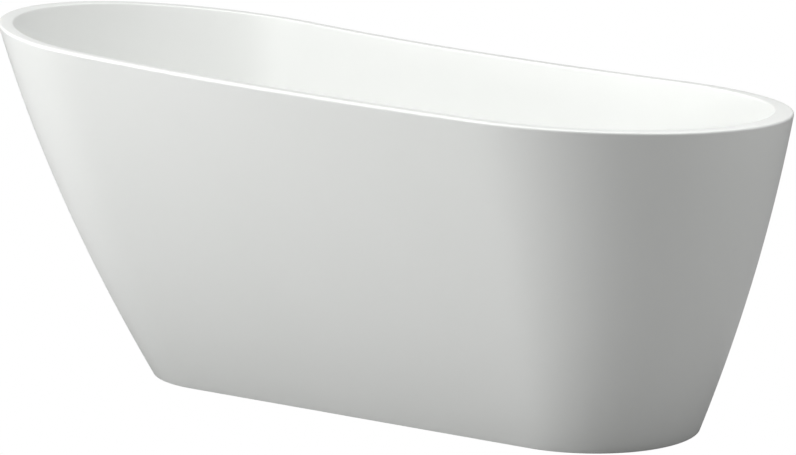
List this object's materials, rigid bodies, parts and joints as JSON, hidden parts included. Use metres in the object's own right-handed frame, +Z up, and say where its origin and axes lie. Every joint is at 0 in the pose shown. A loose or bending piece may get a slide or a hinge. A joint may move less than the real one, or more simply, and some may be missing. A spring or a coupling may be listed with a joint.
{
  "type": "freestanding bathtub",
  "caption": "White freestanding slipper bathtub: smooth tapered double-walled shell, one raised end, flat rim, push-up waste, overflow and levelling feet.",
  "frame": {"origin": "middle of the tub's overall footprint, on the floor", "axes": "+X towards the low foot end with the waste, -X the raised head end, +Z up"},
  "size_m": [1.6971, 0.7952, 0.729],
  "materials": {
    "shell_acrylic": "polished white sanitary acrylic",
    "plywood": "raw birch plywood sealed with resin",
    "frame_paint": "dark grey powder coat, satin",
    "zinc_steel": "bright zinc plate",
    "pad_rubber": "matt black moulded rubber",
    "seal_rubber": "matt black rubber",
    "chrome_trim": "polished chrome plate",
    "brass": "machined brass",
    "grey_pvc": "grey moulded waste pipe plastic",
    "white_pvc": "white moulded waste pipe plastic"
  },
  "bodies": {
    "tub": {"outer_shell": "shell_acrylic", "inner_shell": "shell_acrylic", "base_board": "plywood", "frame_rail_near": "frame_paint", "frame_rail_far": "frame_paint", "cross_member_head": "frame_paint", "cross_member_mid_head": "frame_paint", "cross_member_mid_foot": "frame_paint", "cross_member_foot": "frame_paint", "side_brackets": "frame_paint", "weld_nuts": "zinc_steel", "lock_nuts": "zinc_steel", "rail_screws": "zinc_steel", "drain_flange": "chrome_trim", "overflow_cover": "chrome_trim", "overflow_ring_nut": "brass", "drain_washer": "seal_rubber", "drain_gasket": "seal_rubber", "tail_washer": "seal_rubber", "overflow_gasket": "seal_rubber", "waste_tee": "grey_pvc", "overflow_elbow": "grey_pvc", "overflow_bend": "grey_pvc", "slip_nut": "grey_pvc", "tailpiece": "white_pvc", "overflow_pipe": "white_pvc", "crossover_pipe": "white_pvc", "stopper_post": "brass"},
    "stopper": {"stopper_cap": "chrome_trim", "stopper_seal": "seal_rubber", "stopper_sleeve": "brass"},
    "foot_1_pad": {"foot_pad_1": "pad_rubber"},
    "foot_1_stud": {"foot_stud_1": "zinc_steel"},
    "foot_2_pad": {"foot_pad_2": "pad_rubber"},
    "foot_2_stud": {"foot_stud_2": "zinc_steel"},
    "foot_3_pad": {"foot_pad_3": "pad_rubber"},
    "foot_3_stud": {"foot_stud_3": "zinc_steel"},
    "foot_4_pad": {"foot_pad_4": "pad_rubber"},
    "foot_4_stud": {"foot_stud_4": "zinc_steel"},
    "foot_5_pad": {"foot_pad_5": "pad_rubber"},
    "foot_5_stud": {"foot_stud_5": "zinc_steel"},
    "foot_6_pad": {"foot_pad_6": "pad_rubber"},
    "foot_6_stud": {"foot_stud_6": "zinc_steel"}
  },
  "joints": [
    {"name": "stopper_lift", "type": "slide", "parent": "tub", "child": "stopper", "axis": [0, 0, 1], "range_m": [0, 0.008]},
    {"name": "foot_1_height", "type": "slide", "parent": "tub", "child": "foot_1_pad", "axis": [0, 0, -1], "range_m": [-0.004, 0.012]},
    {"name": "foot_1_turn", "type": "hinge", "parent": "foot_1_pad", "child": "foot_1_stud", "pos_m": [-0.36, -0.1225, 0.05], "axis": [0, 0, -1], "range_deg": [-830, 2475]},
    {"name": "foot_2_height", "type": "slide", "parent": "tub", "child": "foot_2_pad", "axis": [0, 0, -1], "range_m": [-0.004, 0.012]},
    {"name": "foot_2_turn", "type": "hinge", "parent": "foot_2_pad", "child": "foot_2_stud", "pos_m": [-0.36, 0.1225, 0.05], "axis": [0, 0, -1], "range_deg": [-830, 2475]},
    {"name": "foot_3_height", "type": "slide", "parent": "tub", "child": "foot_3_pad", "axis": [0, 0, -1], "range_m": [-0.004, 0.012]},
    {"name": "foot_3_turn", "type": "hinge", "parent": "foot_3_pad", "child": "foot_3_stud", "pos_m": [0.08, -0.1225, 0.05], "axis": [0, 0, -1], "range_deg": [-830, 2475]},
    {"name": "foot_4_height", "type": "slide", "parent": "tub", "child": "foot_4_pad", "axis": [0, 0, -1], "range_m": [-0.004, 0.012]},
    {"name": "foot_4_turn", "type": "hinge", "parent": "foot_4_pad", "child": "foot_4_stud", "pos_m": [0.08, 0.1225, 0.05], "axis": [0, 0, -1], "range_deg": [-830, 2475]},
    {"name": "foot_5_height", "type": "slide", "parent": "tub", "child": "foot_5_pad", "axis": [0, 0, -1], "range_m": [-0.004, 0.012]},
    {"name": "foot_5_turn", "type": "hinge", "parent": "foot_5_pad", "child": "foot_5_stud", "pos_m": [0.5, -0.1225, 0.05], "axis": [0, 0, -1], "range_deg": [-830, 2475]},
    {"name": "foot_6_height", "type": "slide", "parent": "tub", "child": "foot_6_pad", "axis": [0, 0, -1], "range_m": [-0.004, 0.012]},
    {"name": "foot_6_turn", "type": "hinge", "parent": "foot_6_pad", "child": "foot_6_stud", "pos_m": [0.5, 0.1225, 0.05], "axis": [0, 0, -1], "range_deg": [-830, 2475]}
  ],
  "couplings": [
    {"joint": "foot_1_turn", "follows": "foot_1_height", "rad_per_m": 3590.4},
    {"joint": "foot_2_turn", "follows": "foot_2_height", "rad_per_m": 3590.4},
    {"joint": "foot_3_turn", "follows": "foot_3_height", "rad_per_m": 3590.4},
    {"joint": "foot_4_turn", "follows": "foot_4_height", "rad_per_m": 3590.4},
    {"joint": "foot_5_turn", "follows": "foot_5_height", "rad_per_m": 3590.4},
    {"joint": "foot_6_turn", "follows": "foot_6_height", "rad_per_m": 3590.4}
  ]
}
